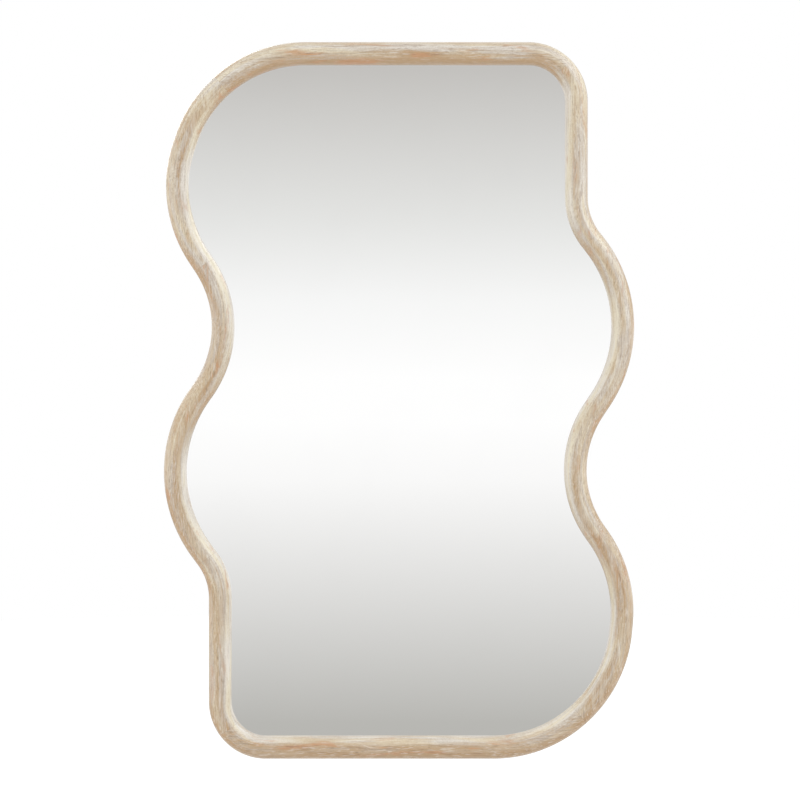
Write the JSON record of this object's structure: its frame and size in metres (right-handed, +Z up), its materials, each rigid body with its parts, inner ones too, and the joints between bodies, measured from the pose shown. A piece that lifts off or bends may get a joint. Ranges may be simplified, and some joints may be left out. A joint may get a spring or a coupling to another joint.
{
  "type": "irregular wall mirror",
  "caption": "Wall mirror with a wavy outline in a half-round whitewashed wood frame, with a screwed back board and two swinging D-ring hangers behind.",
  "frame": {"origin": "middle of the rear face of the back board, which is also the middle of the frame's height and width", "axes": "+X right as the mirror is looked at, +Y from the front to the wall, +Z up"},
  "size_m": [0.6006, 0.03, 0.915],
  "materials": {
    "whitewashed_wood": "whitewashed, matt, open grain",
    "mirror_glass": "polished, silvered behind",
    "foam_sheet": "white polyethylene foam",
    "back_board": "bare fibreboard",
    "dowel_wood": "bare beech",
    "screw_steel": "zinc plated",
    "zinc_plate": "zinc plated, pressed",
    "rubber": "matt"
  },
  "bodies": {
    "frame": {"top_rail": "whitewashed_wood", "right_upper_stile": "whitewashed_wood", "right_middle_stile": "whitewashed_wood", "right_lower_stile": "whitewashed_wood", "bottom_rail": "whitewashed_wood", "left_lower_stile": "whitewashed_wood", "left_middle_stile": "whitewashed_wood", "left_upper_stile": "whitewashed_wood", "dowel_top_rail_outer": "dowel_wood", "dowel_top_rail_inner": "dowel_wood", "dowel_right_upper_stile_outer": "dowel_wood", "dowel_right_upper_stile_inner": "dowel_wood", "dowel_right_middle_stile_outer": "dowel_wood", "dowel_right_middle_stile_inner": "dowel_wood", "dowel_right_lower_stile_outer": "dowel_wood", "dowel_right_lower_stile_inner": "dowel_wood", "dowel_bottom_rail_outer": "dowel_wood", "dowel_bottom_rail_inner": "dowel_wood", "dowel_left_lower_stile_outer": "dowel_wood", "dowel_left_lower_stile_inner": "dowel_wood", "dowel_left_middle_stile_outer": "dowel_wood", "dowel_left_middle_stile_inner": "dowel_wood", "dowel_left_upper_stile_outer": "dowel_wood", "dowel_left_upper_stile_inner": "dowel_wood", "mirror_glass": "mirror_glass", "foam_sheet": "foam_sheet", "back_board": "back_board", "board_screw_01": "screw_steel", "board_screw_02": "screw_steel", "board_screw_03": "screw_steel", "board_screw_04": "screw_steel", "board_screw_05": "screw_steel", "board_screw_06": "screw_steel", "board_screw_07": "screw_steel", "board_screw_08": "screw_steel", "board_screw_09": "screw_steel", "board_screw_10": "screw_steel", "board_screw_11": "screw_steel", "board_screw_12": "screw_steel", "left_hanger_strap": "zinc_plate", "left_hanger_upper_screw": "screw_steel", "left_hanger_lower_screw": "screw_steel", "right_hanger_strap": "zinc_plate", "right_hanger_upper_screw": "screw_steel", "right_hanger_lower_screw": "screw_steel", "right_bumper": "rubber", "left_bumper": "rubber"},
    "left_ring": {"left_hanger_ring": "zinc_plate"},
    "right_ring": {"right_hanger_ring": "zinc_plate"}
  },
  "joints": [
    {"name": "left_ring_swing", "type": "hinge", "parent": "frame", "child": "left_ring", "pos_m": [-0.289, 0.0039, 0.294], "axis": [-1, 0, 0], "range_deg": [0, 180]},
    {"name": "right_ring_swing", "type": "hinge", "parent": "frame", "child": "right_ring", "pos_m": [0.2324, 0.0039, 0.294], "axis": [-1, 0, 0], "range_deg": [0, 180]}
  ]
}
